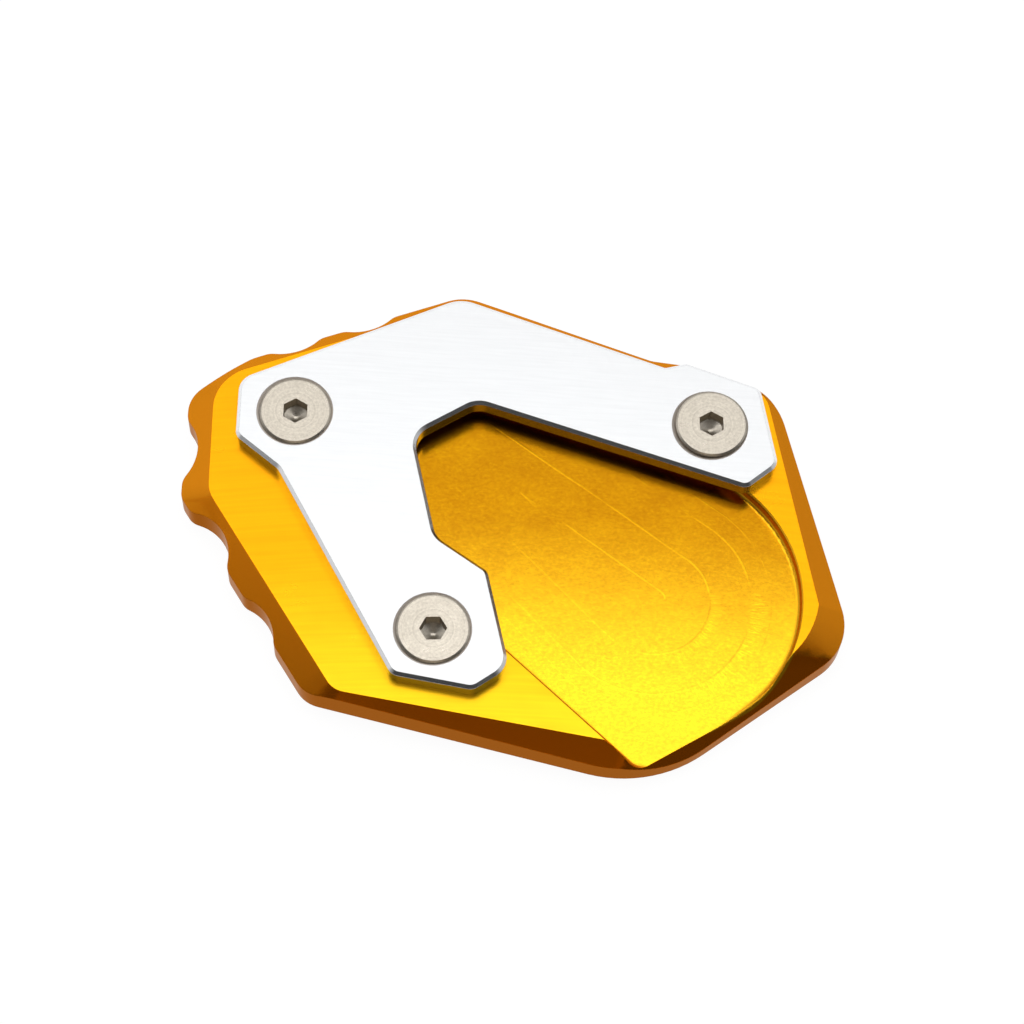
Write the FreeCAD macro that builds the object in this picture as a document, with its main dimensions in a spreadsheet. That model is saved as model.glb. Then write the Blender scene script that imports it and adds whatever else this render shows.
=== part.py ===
import FreeCAD
import Part
import Sketcher
import math
import os

# Foot enlarger for a motorbike side stand, lying flat, in millimetres.
# X runs to the right, Y away from the viewer and Z up; the underside is at Z = 0.
# The middle of the plate's length and width is at X = 0, Y = 0.
doc = FreeCAD.newDocument("stand_foot")
os.makedirs("parts", exist_ok=True)
V = FreeCAD.Vector

# A corner's x and y are its distances inwards from the nearer end and the nearer side of the
# whole plate, as the lists of corners below say, and its round is the radius of that corner.
value = {
    # Whole plate
    "plate_length": 112.8,
    "plate_width": 84.36,
    "base_thickness": 6.0,
    "clamp_thickness": 3.0,

    # Bevel all round, and the steeper flat over the rounded toe
    "bevel_slope": 18.5,
    "nose_slope": 28.0,
    "nose_in": 0.05,

    # Recess for the stand's own foot, and how far it runs under the clamp plate
    "pocket_depth": 2.2,
    "pocket_floor_round": 0.8,
    "pocket_rim_break": 0.25,
    "under_round": 4.0,
    "under_right_x": -4.5, "under_right_y": 4.65,
    "under_far_x": -0.55, "under_far_y": 3.8,
    "under_left_x": -4.45, "under_left_y": 1.6,
    "under_near_x": -2.5, "under_near_y": -5.25,

    # Clamp plate's broken top edge and its countersunk seats
    "clamp_edge_break": 0.55,
    "seat_margin": 0.4,
    "seat_land": 0.1,
    "shank_space": 0.55,
    "left_seat_x": 18.52, "left_seat_y": 25.85,
    "front_seat_x": 44.72, "front_seat_y": 20.46,
    "right_seat_x": 23.93, "right_seat_y": 23.2,

    # Screws, and the gaps to their seats and holes
    "head_rim_radius": 6.1,
    "head_face_in": 0.35,
    "head_edge_drop": 0.18,
    "head_land": 0.15,
    "thread_radius": 2.95,
    "thread_gap": 0.05,
    "mouth_gap": 0.1,
    "seat_gap": 0.02,
    "tip_height": 1.0,
    "tip_break": 0.5,
    "socket_across": 4.0,
    "socket_depth": 2.3,
    "socket_floor_dish": 0.7,

    # How far each screw stands beside the middle of its seat, and how far its socket is turned
    "left_aside_x": 0.1, "left_aside_y": 0.05, "left_socket_turn": 33.0,
    "front_aside_x": 0.1, "front_aside_y": 0.08, "front_socket_turn": 5.0,
    "right_aside_x": 0.25, "right_aside_y": 0.25, "right_socket_turn": 34.0,

    # Round finger bites: how far along its side each one is, and how deep
    "bite_radius": 8.0,
    "bite_edge_round": 3.0,
    "bite_left_along": 9.96, "bite_left_depth": 2.24,
    "bite_low_along": 9.49, "bite_low_depth": 2.71,
    "bite_corner_along": 26.46, "bite_corner_depth": 1.62,
    "bite_far_along": 30.81, "bite_far_depth": 1.4,
    "bite_top_along": 17.48, "bite_top_depth": 1.33,

    # Outline of the base plate
    "base_heel_x": 24.47, "base_heel_y": 9.26, "base_heel_round": 5.5,
    "base_toe_x": 30.65, "base_toe_y": -1.58, "base_toe_round": 23.0,
    "base_shoulder_x": -1.44, "base_shoulder_y": 24.62, "base_shoulder_round": 9.2,
    "base_far_x": 12.73, "base_far_y": 14.4, "base_far_round": 11.5,
    "base_lobe_x": 28.83, "base_lobe_y": 9.9, "base_lobe_round": 3.0,
    "base_waist_x": 34.13, "base_waist_y": 9.7, "base_waist_round": 4.0,
    "base_peak_x": 45.52, "base_peak_y": -0.5, "base_peak_round": 8.0,
    "base_brow_x": 9.87, "base_brow_y": 14.55, "base_brow_round": 8.0,
    "base_cheek_x": -0.08, "base_cheek_y": 22.45, "base_cheek_round": 5.0,
    "base_hip_x": 0.57, "base_hip_y": 41.25, "base_hip_round": 3.0,

    # Outline of its flat top, where the bevel starts
    "top_heel_x": 29.22, "top_heel_y": 9.76, "top_heel_round": 4.0,
    "top_toe_x": 34.93, "top_toe_y": 3.86,
    "top_nose_x": 9.53, "top_nose_y": 20.86,
    "top_swell_x": 5.23, "top_swell_y": 24.96, "top_swell_round": 16.0,
    "top_shoulder_x": 4.53, "top_shoulder_y": 30.86,
    "top_far_x": 14.38, "top_far_y": 14.55, "top_far_round": 4.0,
    "top_waist_x": 31.93, "top_waist_y": 12.45, "top_waist_round": 2.0,
    "top_peak_x": 45.37, "top_peak_y": 1.6, "top_peak_round": 6.0,
    "top_brow_x": 4.02, "top_brow_y": 19.1, "top_brow_round": 8.0,
    "top_hip_x": 5.22, "top_hip_y": 40.45, "top_hip_round": 6.0,

    # Outline of the recess where it is open to view
    "pocket_mouth_low_x": 33.53, "pocket_mouth_low_y": 0.16, "pocket_mouth_low_round": 4.0,
    "pocket_outside_x": 9.73, "pocket_outside_y": 3.51,
    "pocket_mouth_high_x": 18.93, "pocket_mouth_high_y": 9.06,
    "pocket_bay_x": -5.0, "pocket_bay_y": 31.78, "pocket_bay_straight": 5.3,

    # Outline of the clamp plate
    "clamp_foot_left_x": 38.57, "clamp_foot_left_y": 12.11, "clamp_foot_left_round": 2.5,
    "clamp_foot_x": 52.07, "clamp_foot_y": 10.41, "clamp_foot_round": 2.5,
    "clamp_foot_right_x": 57.72, "clamp_foot_right_y": 14.81, "clamp_foot_right_round": 4.0,
    "clamp_knee_x": 52.97, "clamp_knee_y": 31.61, "clamp_knee_round": 2.0,
    "clamp_bend_x": 43.92, "clamp_bend_y": 37.26, "clamp_bend_round": 4.0,
    "clamp_inner_left_x": 38.82, "clamp_inner_left_y": 28.7, "clamp_inner_left_round": 4.0,
    "clamp_inner_far_x": 49.17, "clamp_inner_far_y": 21.65, "clamp_inner_far_round": 4.0,
    "clamp_hand_x": 17.33, "clamp_hand_y": 34.3, "clamp_hand_round": 2.0,
    "clamp_hand_right_x": 12.08, "clamp_hand_right_y": 29.6, "clamp_hand_right_round": 2.5,
    "clamp_hand_far_x": 15.53, "clamp_hand_far_y": 15.3, "clamp_hand_far_round": 2.0,
    "clamp_step_x": 28.33, "clamp_step_y": 11.4, "clamp_step_round": 1.0,
    "clamp_step_in_x": 31.93, "clamp_step_in_y": 12.5, "clamp_step_in_round": 1.0,
    "clamp_peak_x": 44.97, "clamp_peak_y": 1.7, "clamp_peak_round": 6.0,
    "clamp_far_left_x": 8.52, "clamp_far_left_y": 20.2, "clamp_far_left_round": 3.5,
    "clamp_left_x": 8.97, "clamp_left_y": 31.0, "clamp_left_round": 2.0,
    "clamp_left_low_x": 16.67, "clamp_left_low_y": 36.65, "clamp_left_low_round": 3.0,
}

# Corners in turn, each with the end and the side of the plate that it is measured from
base_corners = [
    ("heel", "left", "front"), ("toe", "right", "front"), ("shoulder", "right", "front"),
    ("far", "right", "back"), ("lobe", "right", "back"), ("waist", "right", "back"),
    ("peak", "left", "back"), ("brow", "left", "back"), ("cheek", "left", "back"), ("hip", "left", "back"),
]
top_corners = [
    ("heel", "left", "front"), ("toe", "right", "front"), ("nose", "right", "front"),
    ("swell", "right", "front"), ("shoulder", "right", "front"), ("far", "right", "back"),
    ("waist", "right", "back"), ("peak", "left", "back"), ("brow", "left", "back"), ("hip", "left", "back"),
]
mouth_corners = [
    ("mouth_low", "right", "front"), ("outside", "right", "front"),
    ("mouth_high", "right", "front"), ("bay", "right", "front"),
]
clamp_corners = [
    ("foot_left", "left", "front"), ("foot", "left", "front"), ("foot_right", "left", "front"),
    ("knee", "left", "front"), ("bend", "left", "front"), ("inner_left", "left", "back"),
    ("inner_far", "left", "back"), ("hand", "right", "back"), ("hand_right", "right", "back"),
    ("hand_far", "right", "back"), ("step", "right", "back"), ("step_in", "right", "back"),
    ("peak", "left", "back"), ("far_left", "left", "back"), ("left", "left", "back"),
    ("left_low", "left", "back"),
]
under_corners = [
    ("right", "hand", "right", "back"), ("far", "inner_far", "left", "back"),
    ("left", "inner_left", "left", "back"), ("near", "bend", "left", "front"),
]
seats = [("left", "left", "back"), ("front", "left", "front"), ("right", "right", "back")]
bites = [
    ("left", "cheek", "hip"), ("low", "hip", "heel"), ("corner", "hip", "heel"),
    ("far", "peak", "brow"), ("top", "peak", "brow"),
]

# The table itself: a word and its number in each row
sizes = doc.addObject("Spreadsheet::Sheet", "sizes")
for row, (word, number) in enumerate(value.items(), 1):
    sizes.set("A%d" % row, word)
    sizes.set("B%d" % row, str(number))
    sizes.setAlias("B%d" % row, word)
doc.recompute()


# A place along the plate's length or width: the expression that gives it, and its value
def place(word, end):
    span = "plate_length" if end in ("left", "right") else "plate_width"
    if end in ("left", "front"):
        return "sizes.%s - sizes.%s / 2" % (word, span), value[word] - value[span] / 2
    return "sizes.%s / 2 - sizes.%s" % (span, word), value[span] / 2 - value[word]


# A corner: its word, its place along X and along Y, and the size that rounds it, if any. That is
# the round's radius, or the straight length left on the side before it.
def corner(group, word, end, side):
    x = place("%s_%s_x" % (group, word), end)
    y = place("%s_%s_y" % (group, word), side)
    for rounding in ("%s_%s_round" % (group, word), "%s_%s_straight" % (group, word)):
        if rounding in value:
            return word, x, y, rounding
    return word, x, y, None


def moved(spot, word):
    return spot[0] + " + sizes." + word, spot[1] + value[word]


base_outline = [corner("base", word, end, side) for word, end, side in base_corners]
top_outline = [corner("top", word, end, side) for word, end, side in top_corners]
clamp_outline = [corner("clamp", word, end, side) for word, end, side in clamp_corners]
pocket_outline = [corner("pocket", word, end, side) for word, end, side in mouth_corners]
for word, over, end, side in under_corners:
    over_x = place("clamp_%s_x" % over, end)
    over_y = place("clamp_%s_y" % over, side)
    pocket_outline.append((word, moved(over_x, "under_%s_x" % word), moved(over_y, "under_%s_y" % word),
                           "under_round"))

# Seat middles, and the screw axes that stand a little beside them
seat_places = {}
axis_places = {}
for word, end, side in seats:
    x = place(word + "_seat_x", end)
    y = place(word + "_seat_y", side)
    seat_places[word] = (x, y)
    axis_places[word] = (moved(x, word + "_aside_x"), moved(y, word + "_aside_y"))

# Sizes that follow from the table
seat_rim = value["head_rim_radius"] + value["seat_margin"]
seat_rim_size = "(sizes.head_rim_radius + sizes.seat_margin)"
clamp_hole = max(seat_rim - value["clamp_thickness"] + value["seat_land"],
                 value["thread_radius"] + value["shank_space"])
clamp_hole_size = ("max(%s - sizes.clamp_thickness + sizes.seat_land;"
                   " sizes.thread_radius + sizes.shank_space)" % seat_rim_size)
thread_hole = value["thread_radius"] + value["thread_gap"]
thread_hole_size = "(sizes.thread_radius + sizes.thread_gap)"
clamp_top = value["base_thickness"] + value["clamp_thickness"]
floor_height = value["base_thickness"] - value["pocket_depth"]


def plane(body, role):
    for feature in body.Origin.OriginFeatures:
        if feature.Role == role:
            return feature
    raise ValueError(role)


def new_body(word):
    body = doc.addObject("PartDesign::Body", word)
    body.Label = word
    return body


def new_sketch(body, word, role="XY_Plane"):
    sketch = body.newObject("Sketcher::SketchObject", word)
    sketch.AttachmentSupport = (plane(body, role), [""])
    sketch.MapMode = "FlatFace"
    return sketch


def raise_to(sketch, expression, height):
    sketch.AttachmentOffset = FreeCAD.Placement(V(0, 0, height), FreeCAD.Rotation())
    sketch.setExpression("AttachmentOffset.Base.z", expression)


def tie(sketch, constraint, name, expression):
    number = sketch.addConstraint(constraint)
    sketch.renameConstraint(number, name)
    sketch.setExpression("Constraints." + name, expression)


def tie_point(sketch, name, item, end, x, y):
    tie(sketch, Sketcher.Constraint("DistanceX", -1, 1, item, end, x[1]), name + "_x", x[0])
    tie(sketch, Sketcher.Constraint("DistanceY", -1, 1, item, end, y[1]), name + "_y", y[0])


def checked(feature):
    doc.recompute()
    if "Invalid" in feature.State or "Error" in feature.State:
        raise ValueError(feature.Name)
    if feature.Shape.isNull() or not feature.Shape.isValid():
        raise ValueError(feature.Name + " has no sound shape")
    return feature


def cut_from(feature, before, least):
    checked(feature)
    if feature.Shape.Volume > before - least:
        raise ValueError(feature.Name + " cuts nothing")


# Radius of a corner's round
def radius_of(before, corner, after):
    rounding = corner[3]
    if not rounding:
        return 0
    if rounding.endswith("_round"):
        return value[rounding]
    back = V(before[1][1] - corner[1][1], before[2][1] - corner[2][1], 0)
    ahead = V(after[1][1] - corner[1][1], after[2][1] - corner[2][1], 0)
    return (back.Length - value[rounding]) * math.tan(0.5 * back.getAngle(ahead))


# Closed outline of straight sides joined by round or sharp corners
def outline(sketch, corners):
    count = len(corners)
    points = [V(x[1], y[1], 0) for word, x, y, rounding in corners]
    first_cut = []
    last_cut = []
    centres = []
    radii = []
    for i in range(count):
        rounding = radius_of(corners[i - 1], corners[i], corners[(i + 1) % count])
        back = (points[i - 1] - points[i]).normalize()
        ahead = (points[(i + 1) % count] - points[i]).normalize()
        half = 0.5 * back.getAngle(ahead)
        reach = rounding / math.tan(half)
        radii.append(rounding)
        first_cut.append(points[i] + back * reach)
        last_cut.append(points[i] + ahead * reach)
        middle = (back + ahead).normalize()
        centres.append((points[i] + middle * (rounding / math.sin(half)), back.cross(ahead).z < 0))
    sides = []
    for i in range(count):
        side = Part.LineSegment(last_cut[i], first_cut[(i + 1) % count])
        sides.append(sketch.addGeometry(side, False))
    for i in range(count):
        word, x, y, rounding = corners[i]
        before = sides[i - 1]
        after = sides[i]
        if not rounding:
            sketch.addConstraint(Sketcher.Constraint("Coincident", before, 2, after, 1))
            tie_point(sketch, word, after, 1, x, y)
            continue
        centre, left_turn = centres[i]
        start = first_cut[i] if left_turn else last_cut[i]
        stop = last_cut[i] if left_turn else first_cut[i]
        start_angle = math.atan2(start.y - centre.y, start.x - centre.x)
        stop_angle = math.atan2(stop.y - centre.y, stop.x - centre.x)
        circle = Part.Circle(centre, V(0, 0, 1), radii[i])
        arc = sketch.addGeometry(Part.ArcOfCircle(circle, start_angle, stop_angle), False)
        mark = sketch.addGeometry(Part.Point(points[i]), True)
        sketch.addConstraint(Sketcher.Constraint("Tangent", before, 2, arc, 1 if left_turn else 2))
        sketch.addConstraint(Sketcher.Constraint("Tangent", after, 1, arc, 2 if left_turn else 1))
        sketch.addConstraint(Sketcher.Constraint("PointOnObject", mark, 1, before))
        sketch.addConstraint(Sketcher.Constraint("PointOnObject", mark, 1, after))
        if rounding.endswith("_round"):
            held = Sketcher.Constraint("Radius", arc, radii[i])
        else:
            held = Sketcher.Constraint("Distance", before, 1, before, 2, value[rounding])
        tie(sketch, held, word + "_rounding", "sizes." + rounding)
        tie_point(sketch, word, mark, 1, x, y)


# Straight-sided closed figure, for the profiles below
def polygon(sketch, points):
    count = len(points)
    for i in range(count):
        sketch.addGeometry(Part.LineSegment(points[i], points[(i + 1) % count]), False)
    for i in range(count):
        sketch.addConstraint(Sketcher.Constraint("Coincident", i, 2, (i + 1) % count, 1))


def ring(sketch, word, spot, radius, radius_size):
    x, y = spot
    circle = sketch.addGeometry(Part.Circle(V(x[1], y[1], 0), V(0, 0, 1), radius), False)
    tie(sketch, Sketcher.Constraint("Radius", circle, radius), word + "_radius", radius_size)
    tie_point(sketch, word, circle, 3, x, y)


def edges_at(shape, height, test):
    names = []
    for number, edge in enumerate(shape.Edges):
        box = edge.BoundBox
        if abs(box.ZMin - height) < 1e-4 and abs(box.ZMax - height) < 1e-4 and test(edge):
            names.append("Edge%d" % (number + 1))
    return names


def arc_of(radius):
    def test(edge):
        return edge.Curve.TypeId == "Part::GeomCircle" and abs(edge.Curve.Radius - radius) < 0.01
    return test


# Base plate: the sawn slab
base = new_body("base_plate")
sketch = new_sketch(base, "base_outline")
outline(sketch, base_outline)
doc.recompute()
slab = base.newObject("PartDesign::Pad", "base_slab")
slab.Profile = sketch
slab.setExpression("Length", "sizes.base_thickness")
checked(slab)

# Base plate: the recess, left by a form with a broken rim and with rounds along its floor
form = new_body("pocket_form")
sketch = new_sketch(form, "pocket_outline")
raise_to(sketch, "sizes.base_thickness - sizes.pocket_rim_break",
         value["base_thickness"] - value["pocket_rim_break"])
outline(sketch, pocket_outline)
doc.recompute()
form_pad = form.newObject("PartDesign::Pad", "pocket_block")
form_pad.Profile = sketch
form_pad.Reversed = True
form_pad.setExpression("Length", "sizes.pocket_depth - sizes.pocket_rim_break")
checked(form_pad)
form_rim = form.newObject("PartDesign::Pad", "pocket_rim")
form_rim.Profile = sketch
form_rim.setExpression("Length", "2 * sizes.pocket_rim_break")
form_rim.TaperAngle = 45
checked(form_rim)
form_round = form.newObject("PartDesign::Fillet", "pocket_floor_rounds")
form_round.Base = (form_rim, edges_at(form_rim.Shape, floor_height, lambda edge: True))
form_round.setExpression("Radius", "sizes.pocket_floor_round")
checked(form_round)
before = base.Shape.Volume
pocket = base.newObject("PartDesign::Boolean", "foot_pocket")
pocket.setObjects([form])
pocket.Type = 1
cut_from(pocket, before, 500)

# Base plate: round finger bites, each set by how far along its side it is and by its depth
spots = {word: (x, y) for word, x, y, rounding in base_outline}
sketch = new_sketch(base, "bite_circles")
bite_middles = []
for word, first, last in bites:
    start = V(spots[first][0][1], spots[first][1][1], 0)
    stop = V(spots[last][0][1], spots[last][1][1], 0)
    run = (stop - start).normalize()
    out = V(run.y, -run.x, 0)
    along = value["bite_%s_along" % word]
    stand_off = value["bite_radius"] - value["bite_%s_depth" % word]
    foot = start + run * along
    middle = foot + out * stand_off
    bite_middles.append(middle)
    side = sketch.addGeometry(Part.LineSegment(start, stop), True)
    arm = sketch.addGeometry(Part.LineSegment(foot, middle), True)
    circle = sketch.addGeometry(Part.Circle(middle, V(0, 0, 1), value["bite_radius"]), False)
    tie_point(sketch, word + "_first", side, 1, *spots[first])
    tie_point(sketch, word + "_last", side, 2, *spots[last])
    sketch.addConstraint(Sketcher.Constraint("PointOnObject", arm, 1, side))
    sketch.addConstraint(Sketcher.Constraint("Perpendicular", arm, side))
    sketch.addConstraint(Sketcher.Constraint("Coincident", circle, 3, arm, 2))
    tie(sketch, Sketcher.Constraint("Distance", side, 1, arm, 1, along), word + "_along",
        "sizes.bite_%s_along" % word)
    tie(sketch, Sketcher.Constraint("Distance", arm, 1, arm, 2, stand_off), word + "_off",
        "sizes.bite_radius - sizes.bite_%s_depth" % word)
    tie(sketch, Sketcher.Constraint("Radius", circle, value["bite_radius"]), word + "_radius",
        "sizes.bite_radius")
doc.recompute()
bite_cut = base.newObject("PartDesign::Pocket", "finger_bites")
bite_cut.Profile = sketch
bite_cut.Type = 1
bite_cut.Reversed = True
cut_from(bite_cut, pocket.Shape.Volume, 50)
bite_ends = []
for number, edge in enumerate(bite_cut.Shape.Edges):
    box = edge.BoundBox
    if box.XLength > 1e-4 or box.YLength > 1e-4 or box.ZLength < 1:
        continue
    for middle in bite_middles:
        if abs(math.hypot(box.XMin - middle.x, box.YMin - middle.y) - value["bite_radius"]) < 0.01:
            bite_ends.append("Edge%d" % (number + 1))
bite_round = base.newObject("PartDesign::Fillet", "bite_rounds")
bite_round.Base = (bite_cut, bite_ends)
bite_round.setExpression("Radius", "sizes.bite_edge_round")
checked(bite_round)

# Base plate: the bevel, left by a form whose flat top flares out downwards all round
flare = new_body("bevel_form")
sketch = new_sketch(flare, "top_outline")
raise_to(sketch, "sizes.base_thickness", value["base_thickness"])
outline(sketch, top_outline)
doc.recompute()
flare_pad = flare.newObject("PartDesign::Pad", "bevel_flare")
flare_pad.Profile = sketch
flare_pad.Reversed = True
flare_pad.setExpression("Length", "sizes.base_thickness * 1.1")
flare_pad.setExpression("TaperAngle", "90 - sizes.bevel_slope")
checked(flare_pad)
before = base.Shape.Volume
bevel = base.newObject("PartDesign::Boolean", "bevel")
bevel.setObjects([flare])
bevel.Type = 2
cut_from(bevel, before, 100)

# Base plate: the steeper flat over the toe, hinged just inside the side from toe to nose
toe = top_outline[1]
nose = top_outline[2]
run = math.degrees(math.atan2(nose[2][1] - toe[2][1], nose[1][1] - toe[1][1]))
run_size = "atan2(sizes.top_nose_y - sizes.top_toe_y; sizes.top_toe_x - sizes.top_nose_x)"
sketch = new_sketch(base, "nose_wedge", "XZ_Plane")
sketch.AttachmentOffset = FreeCAD.Placement(V(nose[1][1], 0, -nose[2][1]),
                                            FreeCAD.Rotation(V(0, 1, 0), run - 90))
sketch.setExpression("AttachmentOffset.Base.x", nose[1][0])
sketch.setExpression("AttachmentOffset.Base.z", "-(%s)" % nose[2][0])
sketch.setExpression("AttachmentOffset.Rotation.Angle", run_size + " - 90 deg")
top = value["base_thickness"]
reach = value["plate_width"] / 4
drop = reach * math.tan(math.radians(value["nose_slope"]))
hinge = -value["nose_in"]
polygon(sketch, [V(hinge, top, 0), V(hinge + reach, top - drop, 0), V(hinge + reach, top, 0)])
sketch.addConstraint(Sketcher.Constraint("Horizontal", 2))
sketch.addConstraint(Sketcher.Constraint("Vertical", 1))
tie(sketch, Sketcher.Constraint("DistanceX", 0, 1, -1, 1, -hinge), "hinge_in", "sizes.nose_in")
tie(sketch, Sketcher.Constraint("DistanceY", -1, 1, 0, 1, top), "hinge_height", "sizes.base_thickness")
tie(sketch, Sketcher.Constraint("DistanceX", 0, 1, 1, 1, reach), "reach", "sizes.plate_width / 4")
tie(sketch, Sketcher.Constraint("DistanceY", 1, 1, 0, 1, drop), "fall",
    "sizes.plate_width / 4 * tan(sizes.nose_slope)")
doc.recompute()
before = base.Shape.Volume
nose_flat = base.newObject("PartDesign::Pocket", "nose_flat")
nose_flat.Profile = sketch
nose_flat.Midplane = True
nose_flat.setExpression("Length", "sizes.plate_length")
cut_from(nose_flat, before, 5)

# Base plate: screw holes with open mouths that clear the heads' cones
sketch = new_sketch(base, "thread_circles")
raise_to(sketch, "sizes.base_thickness", value["base_thickness"])
for word, end, side in seats:
    ring(sketch, word, axis_places[word], thread_hole, thread_hole_size)
doc.recompute()
before = base.Shape.Volume
threads = base.newObject("PartDesign::Pocket", "thread_holes")
threads.Profile = sketch
threads.Type = 1
cut_from(threads, before, 200)
mouths = base.newObject("PartDesign::Chamfer", "thread_mouths")
mouths.Base = (threads, edges_at(threads.Shape, value["base_thickness"], arc_of(thread_hole)))
mouths.setExpression("Size", "%s + sizes.mouth_gap - %s" % (clamp_hole_size, thread_hole_size))
checked(mouths)
base.Tip = mouths

# Clamp plate: the hook with its broken top edge
clamp = new_body("clamp_plate")
sketch = new_sketch(clamp, "clamp_outline")
raise_to(sketch, "sizes.base_thickness", value["base_thickness"])
outline(sketch, clamp_outline)
doc.recompute()
hook = clamp.newObject("PartDesign::Pad", "clamp_hook")
hook.Profile = sketch
hook.setExpression("Length", "sizes.clamp_thickness")
checked(hook)
edge_break = clamp.newObject("PartDesign::Chamfer", "clamp_edge")
edge_break.Base = (hook, edges_at(hook.Shape, clamp_top, lambda edge: True))
edge_break.setExpression("Size", "sizes.clamp_edge_break")
checked(edge_break)

# Clamp plate: countersunk seats for the screws
sketch = new_sketch(clamp, "seat_circles")
raise_to(sketch, "sizes.base_thickness + sizes.clamp_thickness", clamp_top)
for word, end, side in seats:
    ring(sketch, word, seat_places[word], clamp_hole, clamp_hole_size)
doc.recompute()
before = clamp.Shape.Volume
holes = clamp.newObject("PartDesign::Pocket", "clamp_holes")
holes.Profile = sketch
holes.Type = 1
cut_from(holes, before, 100)
seat_cones = clamp.newObject("PartDesign::Chamfer", "seats")
seat_cones.Base = (holes, edges_at(holes.Shape, clamp_top, arc_of(clamp_hole)))
seat_cones.setExpression("Size", "%s - %s" % (seat_rim_size, clamp_hole_size))
checked(seat_cones)
clamp.Tip = seat_cones


# Countersunk screw with a six-sided socket, made about its own axis with its face at Z = 0
def screw(word):
    body = new_body("screw_" + word)
    sketch = new_sketch(body, word + "_profile", "XZ_Plane")
    rim = value["head_rim_radius"]
    face = rim - value["head_face_in"]
    shank = value["thread_radius"]
    land_top = -value["head_edge_drop"]
    land = value["head_land"]
    sink = value["seat_margin"] + land_top - land - value["seat_gap"] * math.sqrt(2)
    length = clamp_top - sink - value["tip_height"]
    tip_break = value["tip_break"]
    cone_bottom = land_top - land - (rim - shank)
    polygon(sketch, [V(0, 0, 0), V(face, 0, 0), V(rim, land_top, 0), V(rim, land_top - land, 0),
                     V(shank, cone_bottom, 0), V(shank, tip_break - length, 0),
                     V(shank - tip_break, -length, 0), V(0, -length, 0)])
    sketch.addConstraint(Sketcher.Constraint("Coincident", 0, 1, -1, 1))
    for i in (0, 6):
        sketch.addConstraint(Sketcher.Constraint("Horizontal", i))
    for i in (2, 4, 7):
        sketch.addConstraint(Sketcher.Constraint("Vertical", i))
    tie(sketch, Sketcher.Constraint("DistanceX", -1, 1, 2, 1, rim), "rim", "sizes.head_rim_radius")
    tie(sketch, Sketcher.Constraint("DistanceX", 1, 1, 2, 1, rim - face), "face_in", "sizes.head_face_in")
    tie(sketch, Sketcher.Constraint("DistanceX", -1, 1, 5, 1, shank), "shank", "sizes.thread_radius")
    tie(sketch, Sketcher.Constraint("DistanceX", 6, 1, 5, 1, tip_break), "tip_in", "sizes.tip_break")
    tie(sketch, Sketcher.Constraint("DistanceY", 2, 1, 1, 1, -land_top), "edge_drop",
        "sizes.head_edge_drop")
    tie(sketch, Sketcher.Constraint("DistanceY", 3, 1, 2, 1, land), "land", "sizes.head_land")
    tie(sketch, Sketcher.Constraint("DistanceY", 4, 1, 3, 1, rim - shank), "cone",
        "sizes.head_rim_radius - sizes.thread_radius")
    tie(sketch, Sketcher.Constraint("DistanceY", 6, 1, 5, 1, tip_break), "tip_up", "sizes.tip_break")
    sink_size = "sizes.seat_margin - sizes.head_edge_drop - sizes.head_land - sizes.seat_gap * sqrt(2)"
    tie(sketch, Sketcher.Constraint("DistanceY", 6, 1, -1, 1, length), "length",
        "sizes.base_thickness + sizes.clamp_thickness - (%s) - sizes.tip_height" % sink_size)
    doc.recompute()
    turned = body.newObject("PartDesign::Revolution", word + "_turned")
    turned.Profile = sketch
    turned.ReferenceAxis = (sketch, ["V_Axis"])
    turned.Angle = 360
    checked(turned)

    sketch = new_sketch(body, word + "_hexagon")
    reach = value["socket_across"] / math.sqrt(3)
    angles = [math.radians(60 * i) for i in range(6)]
    polygon(sketch, [V(reach * math.cos(angle), reach * math.sin(angle), 0) for angle in angles])
    circle = sketch.addGeometry(Part.Circle(V(0, 0, 0), V(0, 0, 1), reach), True)
    sketch.addConstraint(Sketcher.Constraint("Coincident", circle, 3, -1, 1))
    for i in range(6):
        sketch.addConstraint(Sketcher.Constraint("PointOnObject", i, 1, circle))
    for i in range(5):
        sketch.addConstraint(Sketcher.Constraint("Equal", i, i + 1))
    sketch.addConstraint(Sketcher.Constraint("PointOnObject", 0, 1, -1))
    tie(sketch, Sketcher.Constraint("Radius", circle, reach), "reach", "sizes.socket_across / sqrt(3)")
    doc.recompute()
    before = body.Shape.Volume
    socket = body.newObject("PartDesign::Pocket", word + "_socket")
    socket.Profile = sketch
    socket.setExpression("Length", "sizes.socket_depth")
    cut_from(socket, before, 10)

    sketch = new_sketch(body, word + "_dish_profile", "XZ_Plane")
    depth = value["socket_depth"]
    half = 0.5 * value["socket_across"]
    dish = value["socket_floor_dish"]
    polygon(sketch, [V(0, -depth, 0), V(half, -depth, 0), V(0, -depth - dish, 0)])
    sketch.addConstraint(Sketcher.Constraint("Horizontal", 0))
    sketch.addConstraint(Sketcher.Constraint("Vertical", 2))
    sketch.addConstraint(Sketcher.Constraint("PointOnObject", 0, 1, -2))
    tie(sketch, Sketcher.Constraint("DistanceY", 0, 1, -1, 1, depth), "depth", "sizes.socket_depth")
    tie(sketch, Sketcher.Constraint("DistanceX", 0, 1, 0, 2, half), "half", "0.5 * sizes.socket_across")
    tie(sketch, Sketcher.Constraint("DistanceY", 2, 1, 2, 2, dish), "dish", "sizes.socket_floor_dish")
    doc.recompute()
    before = body.Shape.Volume
    dished = body.newObject("PartDesign::Groove", word + "_dish")
    dished.Profile = sketch
    dished.ReferenceAxis = (sketch, ["V_Axis"])
    dished.Angle = 360
    cut_from(dished, before, 1)
    body.Tip = dished

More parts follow.
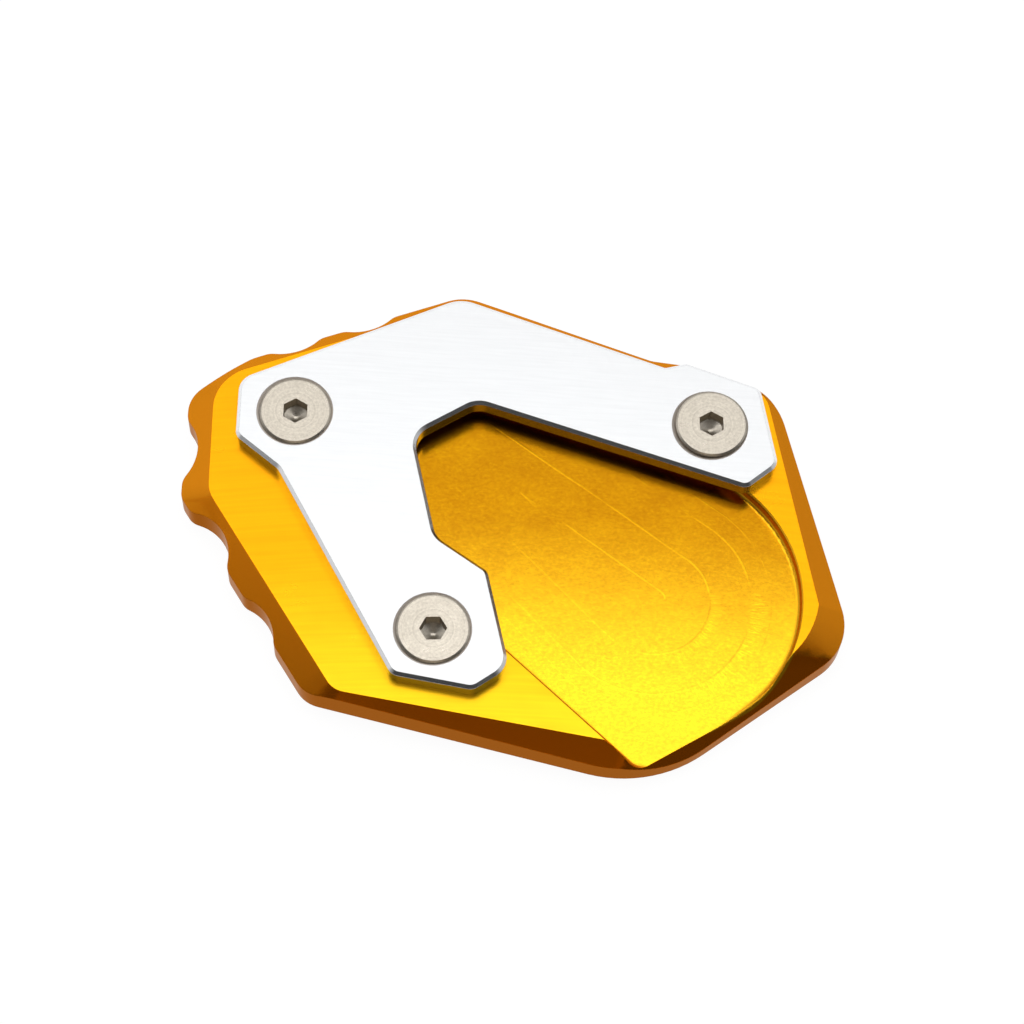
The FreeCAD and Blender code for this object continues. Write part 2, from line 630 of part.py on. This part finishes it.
    # A 90 degree head on a 90 degree seat rises as far as it stands beside the seat's middle
    x, y = axis_places[word]
    rise = math.hypot(value[word + "_aside_x"], value[word + "_aside_y"])
    body.Placement = FreeCAD.Placement(V(x[1], y[1], clamp_top - sink + rise),
                                       FreeCAD.Rotation(V(0, 0, 1), value[word + "_socket_turn"]))
    body.setExpression("Placement.Base.x", x[0])
    body.setExpression("Placement.Base.y", y[0])
    body.setExpression("Placement.Base.z",
                       "sizes.base_thickness + sizes.clamp_thickness - (%s)"
                       " + sqrt(sizes.%s_aside_x ^ 2 + sizes.%s_aside_y ^ 2)" % (sink_size, word, word))
    body.setExpression("Placement.Rotation.Angle", "sizes.%s_socket_turn" % word)
    return body


pieces = [base, clamp]
for word, end, side in seats:
    pieces.append(screw(word))

# Every object must have solved and every piece must be one sound solid
doc.recompute()
for item in doc.Objects:
    if "Invalid" in item.State or "Error" in item.State:
        raise ValueError(item.Name)
for piece in pieces:
    shape = piece.Shape
    if shape.isNull() or not shape.isValid() or len(shape.Solids) != 1:
        raise ValueError(piece.Label)
    shape.exportStep("parts/%s.step" % piece.Label)
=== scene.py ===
import bpy
import math
from mathutils import Matrix, Vector

# A foot enlarger for a motorcycle's side stand: a gold anodised plate with a milled recess for the
# stand's foot, a hooked clear plate that clamps over the foot's rim, and three countersunk screws.
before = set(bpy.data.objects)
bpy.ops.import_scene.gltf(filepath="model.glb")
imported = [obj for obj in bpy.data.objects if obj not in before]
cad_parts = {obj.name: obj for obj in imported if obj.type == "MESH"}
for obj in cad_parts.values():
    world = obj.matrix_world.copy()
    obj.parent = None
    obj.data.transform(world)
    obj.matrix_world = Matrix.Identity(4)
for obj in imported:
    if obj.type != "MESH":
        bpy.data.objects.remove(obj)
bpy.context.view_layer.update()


# Base plate
# Milled from 6 mm aluminium sheet, bevelled all round with a finger-bitten left side, then gold
# anodised. Its top is fly cut, and the recess floor shows the rounds that the end mill took.

# Small wording for shader trees, shared by the materials of all the pieces
def wire(tree, item, socket):
    if isinstance(item, bpy.types.NodeSocket):
        tree.links.new(item, socket)
    elif isinstance(item, tuple) and len(item) < len(socket.default_value):
        socket.default_value = (*item, 1.0)
    else:
        socket.default_value = item


def number(tree, operation, *items):
    node = tree.nodes.new("ShaderNodeMath")
    node.operation = operation
    for socket, item in zip(node.inputs, items):
        wire(tree, item, socket)
    return node.outputs[0]


def times(tree, first, *others):
    for item in others:
        first = number(tree, "MULTIPLY", first, item)
    return first


def plus(tree, first, *others):
    for item in others:
        first = number(tree, "ADD", first, item)
    return first


# The opposite of a mask
def outside(tree, mask):
    return number(tree, "SUBTRACT", 1.0, mask)


def arrow(tree, operation, one, two, output="Vector"):
    node = tree.nodes.new("ShaderNodeVectorMath")
    node.operation = operation
    wire(tree, one, node.inputs[0])
    wire(tree, two, node.inputs[1])
    return node.outputs[output]


def dot(tree, one, two):
    return arrow(tree, "DOT_PRODUCT", one, two, "Value")


def distance(tree, one, two):
    return arrow(tree, "DISTANCE", one, two, "Value")


# Distance from a middle as it is seen from above
level_part = (1.0, 1.0, 0.0)


def plan_distance(tree, place, middle):
    return distance(tree, arrow(tree, "MULTIPLY", place, level_part), (middle[0], middle[1], 0.0))


def parts_of(tree, place):
    node = tree.nodes.new("ShaderNodeSeparateXYZ")
    wire(tree, place, node.inputs[0])
    return node.outputs


def combined(tree, kind, *items):
    node = tree.nodes.new(kind)
    for socket, item in zip(node.inputs, items):
        wire(tree, item, socket)
    return node.outputs[0]


# A mask that goes from 0 at one value to 1 at another, smoothly
def step(tree, item, low, high):
    node = tree.nodes.new("ShaderNodeMapRange")
    node.interpolation_type = "SMOOTHSTEP"
    wire(tree, item, node.inputs["Value"])
    wire(tree, low, node.inputs["From Min"])
    wire(tree, high, node.inputs["From Max"])
    return node.outputs[0]


# A mask that is 1 close to a middle value and fades to 0 at one width from it
def line(tree, item, middle, width):
    off = number(tree, "ABSOLUTE", number(tree, "SUBTRACT", item, middle))
    return step(tree, off, width, 0.35 * width)


def blend(tree, factor, one, two, kind="MIX"):
    node = tree.nodes.new("ShaderNodeMix")
    node.data_type = "RGBA"
    node.blend_type = kind
    wire(tree, factor, node.inputs["Factor"])
    wire(tree, one, node.inputs[6])
    wire(tree, two, node.inputs[7])
    return node.outputs[2]


# A shader node group with named inputs and one output
def shader_group(name, inputs, output, output_type="NodeSocketFloat"):
    group = bpy.data.node_groups.new(name, "ShaderNodeTree")
    for word, kind in inputs:
        group.interface.new_socket(word, in_out="INPUT", socket_type=kind)
    group.interface.new_socket(output, in_out="OUTPUT", socket_type=output_type)
    given = group.nodes.new("NodeGroupInput").outputs
    return group, given, group.nodes.new("NodeGroupOutput").inputs[0]


def placed(tree, group, *items):
    node = tree.nodes.new("ShaderNodeGroup")
    node.node_tree = group
    for socket, item in zip(node.inputs, items):
        wire(tree, item, socket)
    return node.outputs[0]


# Noise from 0 to 1, with its own fineness along each axis in cycles per metre
grain_group, given, result = shader_group(
    "grain", (("Place", "NodeSocketVector"), ("Fineness", "NodeSocketVector"),
              ("Detail", "NodeSocketFloat"), ("Roughness", "NodeSocketFloat")), "Grain")
noise = grain_group.nodes.new("ShaderNodeTexNoise")
noise.inputs["Scale"].default_value = 1.0
wire(grain_group, arrow(grain_group, "MULTIPLY", given["Place"], given["Fineness"]), noise.inputs["Vector"])
wire(grain_group, given["Detail"], noise.inputs["Detail"])
wire(grain_group, given["Roughness"], noise.inputs["Roughness"])
wire(grain_group, noise.outputs[0], result)


def grain(tree, place, fineness, detail=2.0, roughness=0.5):
    if not isinstance(fineness, tuple):
        fineness = (fineness, fineness, fineness)
    return placed(tree, grain_group, place, fineness, detail, roughness)


# Noise lies mostly between 0.3 and 0.7, and is spread out here from one value to another
def spread(tree, item, low, high):
    node = tree.nodes.new("ShaderNodeMapRange")
    wire(tree, item, node.inputs["Value"])
    node.inputs["From Min"].default_value = 0.3
    node.inputs["From Max"].default_value = 0.7
    node.inputs["To Min"].default_value = low
    node.inputs["To Max"].default_value = high
    return node.outputs[0]


# A normal that turns over worn edges within a small radius, roughened by a height in metres
worn_group, given, result = shader_group(
    "worn_edges", (("Radius", "NodeSocketFloat"), ("Height", "NodeSocketFloat")),
    "Normal", "NodeSocketVector")
edge = worn_group.nodes.new("ShaderNodeBevel")
edge.samples = 6
wire(worn_group, given["Radius"], edge.inputs["Radius"])
bump = worn_group.nodes.new("ShaderNodeBump")
bump.inputs["Distance"].default_value = 1.0
wire(worn_group, given["Height"], bump.inputs["Height"])
wire(worn_group, edge.outputs[0], bump.inputs["Normal"])
wire(worn_group, bump.outputs[0], result)


# A material with its tree, its shader and the place on the piece that its textures read
def new_material(name):
    material = bpy.data.materials.new(name)
    material.use_nodes = True
    tree = material.node_tree
    place = tree.nodes.new("ShaderNodeTexCoord").outputs["Object"]
    return material, tree, tree.nodes["Principled BSDF"].inputs, place


# Rounds are shaded smooth, and edges that turn more than this stay sharp
sharp_angle = math.radians(16)
weld_distance = 0.000001
smooth_rounds = bpy.data.node_groups.new("smooth_rounds", "GeometryNodeTree")
smooth_rounds.interface.new_socket("Piece", in_out="INPUT", socket_type="NodeSocketGeometry")
angle_socket = smooth_rounds.interface.new_socket(
    "Sharp angle", in_out="INPUT", socket_type="NodeSocketFloat")
angle_socket.default_value = sharp_angle
smooth_rounds.interface.new_socket("Piece", in_out="OUTPUT", socket_type="NodeSocketGeometry")
group_in = smooth_rounds.nodes.new("NodeGroupInput")
group_out = smooth_rounds.nodes.new("NodeGroupOutput")
joined = smooth_rounds.nodes.new("GeometryNodeMergeByDistance")
joined.inputs["Distance"].default_value = weld_distance
soft = smooth_rounds.nodes.new("GeometryNodeSetShadeSmooth")
hard = smooth_rounds.nodes.new("GeometryNodeSetShadeSmooth")
hard.domain = "EDGE"
hard.inputs["Shade Smooth"].default_value = False
angle = smooth_rounds.nodes.new("GeometryNodeInputMeshEdgeAngle")
sharper = smooth_rounds.nodes.new("FunctionNodeCompare")
sharper.operation = "GREATER_THAN"
smooth_rounds.links.new(group_in.outputs["Piece"], joined.inputs["Geometry"])
smooth_rounds.links.new(joined.outputs[0], soft.inputs["Geometry"])
smooth_rounds.links.new(soft.outputs[0], hard.inputs["Geometry"])
smooth_rounds.links.new(angle.outputs["Unsigned Angle"], sharper.inputs[0])
smooth_rounds.links.new(group_in.outputs["Sharp angle"], sharper.inputs[1])
smooth_rounds.links.new(sharper.outputs[0], hard.inputs["Selection"])
smooth_rounds.links.new(hard.outputs[0], group_out.inputs["Piece"])


def dress(piece, material):
    piece.data.materials.clear()
    piece.data.materials.append(material)
    smooth = piece.modifiers.new("smooth_rounds", "NODES")
    smooth.node_group = smooth_rounds
    flat_faces = piece.modifiers.new("flat_faces", "WEIGHTED_NORMAL")
    flat_faces.keep_sharp = True


# Places on the plate in metres, as the part's source has them
base_top = 0.006
recess_floor = 0.0038
bay_middle = (0.02413, -0.01137)
bay_rim = 0.0255

gold, tree, shader, place = new_material("gold_anodised")
x, y, z = parts_of(tree, place)
geometry = tree.nodes.new("ShaderNodeNewGeometry")
forward_normal, facing = parts_of(tree, geometry.outputs["True Normal"])[1:]
level = step(tree, facing, 0.975, 0.99)
upright = step(tree, facing, 0.7, 0.3)
under_rim = step(tree, z, recess_floor + 0.0008, recess_floor + 0.0004)
above_sole = step(tree, z, recess_floor - 0.0004, recess_floor - 0.0001)
on_floor = times(tree, level, times(tree, under_rim, above_sole))
on_top = times(tree, level, step(tree, z, base_top - 0.0005, base_top - 0.0002))
bay_reach = plan_distance(tree, place, bay_middle)
in_bay = step(tree, bay_reach, bay_rim + 0.0001, bay_rim - 0.0001)

# The end mill's rounds on the floor: lines along two straight runs that meet in an arc
turn_middle = (0.0242, -0.0117, 0.0)
turn_side = (0.786, -0.618, 0.0)
upper_side = (0.55, 0.835, 0.0)
lower_side = (-0.683, -0.73, 0.0)
wander = 0.00012
from_turn = arrow(tree, "MULTIPLY", arrow(tree, "SUBTRACT", place, turn_middle), level_part)
in_arc = step(tree, dot(tree, from_turn, turn_side), -0.0001, 0.0001)
on_upper = dot(tree, from_turn, upper_side)
on_lower = dot(tree, from_turn, lower_side)
arc_reach = times(tree, distance(tree, from_turn, (0.0, 0.0, 0.0)), in_arc)
run_reach = times(tree, number(tree, "MAXIMUM", on_upper, on_lower), outside(tree, in_arc))
reach = plus(tree, arc_reach, run_reach, spread(tree, grain(tree, place, 60.0), -wander, wander))

# Each line's reach and width. The innermost shows on the upper side alone, the others are weaker
# on the lower side.
mill_lines = ((0.0024, 0.00016), (0.0098, 0.0002), (0.0168, 0.0002), (0.0201, 0.0001))
innermost = mill_lines[0]
upper_only = step(tree, on_upper, 0.001, 0.0015)
weaker_below = outside(tree, times(tree, step(tree, on_lower, 0.0, 0.004), 0.6))
round_steps = 0.0
for mill_line in mill_lines:
    shown = upper_only if mill_line == innermost else weaker_below
    one_step = times(tree, line(tree, reach, *mill_line), shown)
    round_steps = number(tree, "MAXIMUM", round_steps, one_step)
round_steps = times(tree, round_steps, step(tree, grain(tree, place, 90.0), 0.42, 0.6))

# Chatter: short fine rays outside the arcs, where the cutter turned. Each band has the reaches
# where it starts, is full, begins to fade and stops.
chatter_bands = ((0.0096, 0.0100, 0.0101, 0.0128), (0.0165, 0.0170, 0.0172, 0.0210))
turn_x, turn_y = parts_of(tree, from_turn)[:2]
turned_by = number(tree, "ARCTAN2", turn_y, turn_x)
in_turn = times(tree, step(tree, turned_by, -1.25, -0.95), step(tree, turned_by, 0.25, 0.05))
ray_place = combined(tree, "ShaderNodeCombineXYZ", turned_by, reach)
rays = step(tree, grain(tree, ray_place, (105.0, 420.0, 1.0)), 0.46, 0.66)
ray_bands = 0.0
for start, full, fade, stop in chatter_bands:
    one_band = times(tree, step(tree, reach, start, full), step(tree, reach, stop, fade))
    ray_bands = number(tree, "MAXIMUM", ray_bands, one_band)
patchy = step(tree, grain(tree, place, 160.0), 0.15, 0.6)
chatter = times(tree, rays, in_turn, ray_bands, patchy)

# Fine drag marks on the floor along the plate's length, and the fly cutter's wide sweeps on top
cutter_middle = (0.012, -0.36, 0.0)
drag = grain(tree, place, (800.0, 2400.0, 100.0), 4.0, 0.65)
dashes = grain(tree, place, (1700.0, 2300.0, 100.0), 2.0, 0.6)
cloud = grain(tree, place, (110.0, 190.0, 100.0), 3.0, 0.6)
sweep = distance(tree, place, cutter_middle)
sweep_place = combined(tree, "ShaderNodeCombineXYZ", sweep, times(tree, x, 0.04))
fly_cut = grain(tree, sweep_place, (1500.0, 900.0, 1.0), 2.0, 0.6)

# The gold's tones are matched to the photograph. The gold is the plate's dye, and its changes by place
# and lean are painted light: a painted gradient from orange at the back to yellow at the front on the top
# and the recess floor, painted shade on slopes to the front and on the outer walls, and a painted
# reflection that brightens the recess's curved wall
top_back, top_front = (1.0, 0.42, 0.006), (1.0, 0.61, 0.016)
floor_back, floor_front = (0.60, 0.262, 0.004), (1.0, 0.60, 0.020)
# Painted shade: slopes that lean to the front are darker and redder than slopes to the sides
side_slope, front_slope_painted_shade = (0.90, 0.30, 0.010), (0.85, 0.20, 0.002)
# Painted shade: the outer walls are a dark brown
outer_wall_painted_shade = (0.29, 0.075, 0.012)
# Painted reflection: the recess's curved wall is a bright orange
bay_wall_painted_reflection = (1.0, 0.50, 0.018)
top_painted_light = blend(tree, step(tree, y, -0.008, -0.040), top_back, top_front)
floor_painted_light = blend(tree, step(tree, y, 0.006, -0.029), floor_back, floor_front)
slope_painted_shade = blend(tree, step(tree, forward_normal, -0.12, -0.27), side_slope, front_slope_painted_shade)
outer_wall = times(tree, upright, outside(tree, in_bay))
bay_wall = times(tree, outside(tree, level), in_bay, step(tree, z, recess_floor - 0.0002, recess_floor))
shade = blend(tree, level, slope_painted_shade, top_painted_light)
shade = blend(tree, on_floor, shade, floor_painted_light)
shade = blend(tree, outer_wall, shade, outer_wall_painted_shade)
shade = blend(tree, bay_wall, shade, bay_wall_painted_reflection)

# The tool marks lighten and darken the gold at random. A painted glint brightens the straight runs and
# the chatter's rays, and the arcs are painted as dark lines.
floor_tone = times(tree, spread(tree, drag, 0.955, 1.035), on_floor,
                   spread(tree, cloud, 0.95, 1.04), spread(tree, dashes, 0.93, 1.05))
top_tone = times(tree, spread(tree, fly_cut, 0.97, 1.03), on_top)
plain_tone = outside(tree, plus(tree, on_floor, on_top))
run_tone = number(tree, "SUBTRACT", 0.16, times(tree, in_turn, 0.26))
glint = plus(tree, times(tree, chatter, 0.20), times(tree, round_steps, run_tone))
tone = plus(tree, floor_tone, top_tone, plain_tone, times(tree, glint, on_floor))
green_tone = number(tree, "POWER", tone, 1.8)
tone_colour = combined(tree, "ShaderNodeCombineColor", tone, green_tone, tone)
wire(tree, blend(tree, 1.0, shade, tone_colour, "MULTIPLY"), shader["Base Color"])
shader["Metallic"].default_value = 1.0
shader["Specular Tint"].default_value = (0.9, 0.65, 0.45, 1.0)
clouded = times(tree, spread(tree, cloud, 0.01, 0.07), level)
rough = number(tree, "SUBTRACT", plus(tree, 0.26, clouded), times(tree, on_floor, 0.09))
wire(tree, rough, shader["Roughness"])

# Heights of the tool marks in metres
drag_height, fly_height, step_height, ray_height = 0.000004, 0.000008, 0.00001, 0.000006
height = plus(tree, times(tree, plus(tree, drag, dashes), on_floor, drag_height),
              times(tree, fly_cut, on_top, fly_height),
              times(tree, round_steps, on_floor, step_height),
              times(tree, chatter, on_floor, ray_height))

# The foot of the recess's curved wall is turned over a wider radius than the other edges
edge_radius, foot_radius_more = 0.00018, 0.0003
bay_foot = times(tree, step(tree, bay_reach, bay_rim - 0.0003, bay_rim - 0.0004),
                 step(tree, z, recess_floor + 0.0010, recess_floor + 0.0009))
turn_radius = plus(tree, edge_radius, times(tree, bay_foot, foot_radius_more))
wire(tree, placed(tree, worn_group, turn_radius, height), shader["Normal"])
dress(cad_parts["base_plate"], gold)


# Clamp plate
# Cut from 3 mm aluminium sheet to a hook that follows the stand's foot, with its top edge broken,
# then clear anodised to a soft white satin. It lies on the base plate under the screws.
screws = [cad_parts["screw_" + word] for word in ("left", "front", "right")]

# How far a place is from the middle of the nearest screw, seen from above
screw_group, given, result = shader_group("from_screw", (("Place", "NodeSocketVector"),), "Distance")
nearest = 1.0
for screw in screws:
    corners = [Vector(corner) for corner in screw.bound_box]
    middle = sum(corners, Vector()) / len(corners)
    nearest = number(screw_group, "MINIMUM", nearest, plan_distance(screw_group, given["Place"], middle))
wire(screw_group, nearest, result)

clear, tree, shader, place = new_material("clear_aluminium")
geometry = tree.nodes.new("ShaderNodeNewGeometry")
facing = parts_of(tree, geometry.outputs["True Normal"])[2]
upright = step(tree, facing, 0.5, 0.2)
cut_edge = step(tree, facing, 0.97, 0.9)
seat_reach = 0.0072
from_screw = placed(tree, screw_group, place)
seat = times(tree, step(tree, from_screw, seat_reach, seat_reach - 0.0002), cut_edge)
rolled = grain(tree, place, (90.0, 2200.0, 100.0), 3.0, 0.6)
speckle = grain(tree, place, 2600.0, 2.0, 0.6)

# The rolled face is streaked, the walls are a little greyer and the screws' seats are pale
shade = blend(tree, spread(tree, rolled, 0.0, 1.0), (0.84, 0.85, 0.86), (0.88, 0.89, 0.90))
shade = blend(tree, times(tree, upright, 0.3), shade, (0.72, 0.72, 0.73))
shade = blend(tree, seat, shade, (0.95, 0.87, 0.79))
wire(tree, shade, shader["Base Color"])
wire(tree, outside(tree, times(tree, seat, 0.7)), shader["Metallic"])

# The cut and broken edges are smoother than the rolled face, and the screws' seats are matt
rough = plus(tree, 0.38, spread(tree, speckle, -0.03, 0.03))
rough = number(tree, "SUBTRACT", rough, times(tree, cut_edge, 0.2))
rough = plus(tree, rough, times(tree, seat, 0.45))
wire(tree, rough, shader["Roughness"])
sheet_height = 0.000003
height = plus(tree, times(tree, speckle, sheet_height), times(tree, rolled, sheet_height))
broken_edge = 0.0001
wire(tree, placed(tree, worn_group, broken_edge, height), shader["Normal"])
dress(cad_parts["clamp_plate"], clear)


# Screws
# Countersunk machine screws of bright steel, read as M6. Their faces are turned to a satin with
# fine rings and small pits, and their hexagon sockets end in a shallow dish.
steel, tree, shader, place = new_material("screw_steel")
pits = grain(tree, place, 2400.0, 3.0, 0.65)
cloud = grain(tree, place, 500.0)
ring_place = combined(tree, "ShaderNodeCombineXYZ", placed(tree, screw_group, place))
rings = grain(tree, ring_place, (3200.0, 1.0, 1.0), 2.0, 0.6)
blotch = plus(tree, times(tree, pits, 0.5), times(tree, rings, 0.5))
shade = blend(tree, spread(tree, blotch, -0.3, 1.3), (0.51, 0.46, 0.385), (0.72, 0.66, 0.56))
wire(tree, shade, shader["Base Color"])
shader["Metallic"].default_value = 1.0
wire(tree, plus(tree, 0.31, spread(tree, cloud, -0.04, 0.04)), shader["Roughness"])
blotch_height, screw_edge = 0.000008, 0.00008
wire(tree, placed(tree, worn_group, screw_edge, times(tree, blotch, blotch_height)), shader["Normal"])
for screw in screws:
    dress(screw, steel)


# Floor, lamps and camera
# The part lies on white paper. Two softboxes hang over its back, panels stand left, right and
# behind, and only a small warm card is in front, so what leans to the front is dark.
paper, tree, shader, place = new_material("white_paper")
shader["Base Color"].default_value = (0.9, 0.9, 0.9, 1.0)
shader["Roughness"].default_value = 0.9
paper_glow, glow_share = 1.12, 0.85
light_path = tree.nodes.new("ShaderNodeLightPath").outputs
seen = number(tree, "MAXIMUM", light_path["Is Camera Ray"], light_path["Is Glossy Ray"])
glow = tree.nodes.new("ShaderNodeEmission")
glow.inputs["Color"].default_value = (1.0, 1.0, 1.0, 1.0)
glow.inputs["Strength"].default_value = paper_glow
mixed = tree.nodes.new("ShaderNodeMixShader")
wire(tree, times(tree, seen, glow_share), mixed.inputs[0])
wire(tree, tree.nodes["Principled BSDF"].outputs[0], mixed.inputs[1])
wire(tree, glow.outputs[0], mixed.inputs[2])
wire(tree, mixed.outputs[0], tree.nodes["Material Output"].inputs["Surface"])
half = 3
floor_mesh = bpy.data.meshes.new("floor")
floor_corners = [(-half, -half, 0), (half, -half, 0), (half, half, 0), (-half, half, 0)]
floor_mesh.from_pydata(floor_corners, [], [(0, 1, 2, 3)])
floor_mesh.materials.append(paper)
floor = bpy.data.objects.new("floor", floor_mesh)
bpy.context.scene.collection.objects.link(floor)

# The room's walls are pale low down and dimmer higher up, and nearly dark in front
room_light, low_wall_light, high_wall_light = 0.05, 0.5, 0.17
world = bpy.data.worlds.new("studio")
bpy.context.scene.world = world
world.use_nodes = True
tree = world.node_tree
background = tree.nodes["Background"]
look = tree.nodes.new("ShaderNodeTexCoord").outputs["Generated"]
forward, upward = parts_of(tree, look)[1:]
high_front = times(tree, step(tree, forward, -0.35, -0.65), step(tree, upward, 0.56, 0.48))
low_front = times(tree, step(tree, forward, -0.25, -0.55), step(tree, upward, 0.03, 0.12))
high_wall = times(tree, step(tree, upward, 0.72, 0.60), high_wall_light, outside(tree, high_front))
low_wall = times(tree, step(tree, upward, 0.37, 0.24), low_wall_light, outside(tree, low_front))
wire(tree, (1.0, 1.0, 1.0), background.inputs["Color"])
room = plus(tree, room_light, number(tree, "MAXIMUM", low_wall, high_wall))
wire(tree, room, background.inputs["Strength"])


# Azimuth 0 stands behind the part and 90 to its right, and the lamp looks at the origin
def softbox(name, azimuth, elevation, far, wide, tall, watts, colour=(1.0, 1.0, 1.0)):
    lamp = bpy.data.lights.new(name, "AREA")
    lamp.shape = "RECTANGLE"
    lamp.size = wide
    lamp.size_y = tall
    lamp.energy = watts
    lamp.color = colour
    item = bpy.data.objects.new(name, lamp)
    bpy.context.scene.collection.objects.link(item)
    a = math.radians(azimuth)
    e = math.radians(elevation)
    away = Vector((math.sin(a) * math.cos(e), math.cos(a) * math.cos(e), math.sin(e)))
    item.location = away * far
    item.rotation_mode = "QUATERNION"
    item.rotation_quaternion = away.to_track_quat("Z", "Y")


softbox("overhead_softbox", 0, 77, 1.0, 1.0, 0.32, 1.93)
softbox("upper_panel", 0, 56, 1.05, 0.8, 0.42, 1.12)
softbox("left_panel", -57, 46, 1.2, 0.8, 0.65, 1.02)
softbox("right_panel", 54, 42, 1.2, 1.1, 0.6, 0.95)
softbox("back_panel", -8, 28, 1.2, 1.2, 0.6, 1.2)
softbox("low_left_card", -88, 14, 1.2, 2.4, 0.55, 0.85)
softbox("front_card", 180, 59, 1.0, 0.6, 0.25, 0.30, (1.0, 0.82, 0.62))

# The camera's place was worked out from corners in the photograph
view_elevation = math.radians(64.95)
view_roll = math.radians(3.95)
view_distance = 0.47548
looked_at = Vector((-0.00003, 0.00028, 0.009))
camera_data = bpy.data.cameras.new("camera")
camera_data.lens = 100.195
camera_data.sensor_width = 36.0
camera_data.clip_start = 0.01
camera_data.clip_end = 20.0
camera = bpy.data.objects.new("camera", camera_data)
bpy.context.scene.collection.objects.link(camera)
towards_eye = Vector((0.0, -math.cos(view_elevation), math.sin(view_elevation)))
sideways = Vector((1.0, 0.0, 0.0))
rise = Vector((0.0, math.sin(view_elevation), math.cos(view_elevation)))
camera_right = math.cos(view_roll) * sideways + math.sin(view_roll) * rise
camera_up = math.cos(view_roll) * rise - math.sin(view_roll) * sideways
camera_turn = Matrix((camera_right, camera_up, towards_eye)).transposed().to_4x4()
camera.matrix_world = Matrix.Translation(looked_at + view_distance * towards_eye) @ camera_turn
bpy.context.scene.camera = camera
bpy.context.scene.view_settings.view_transform = "Standard"
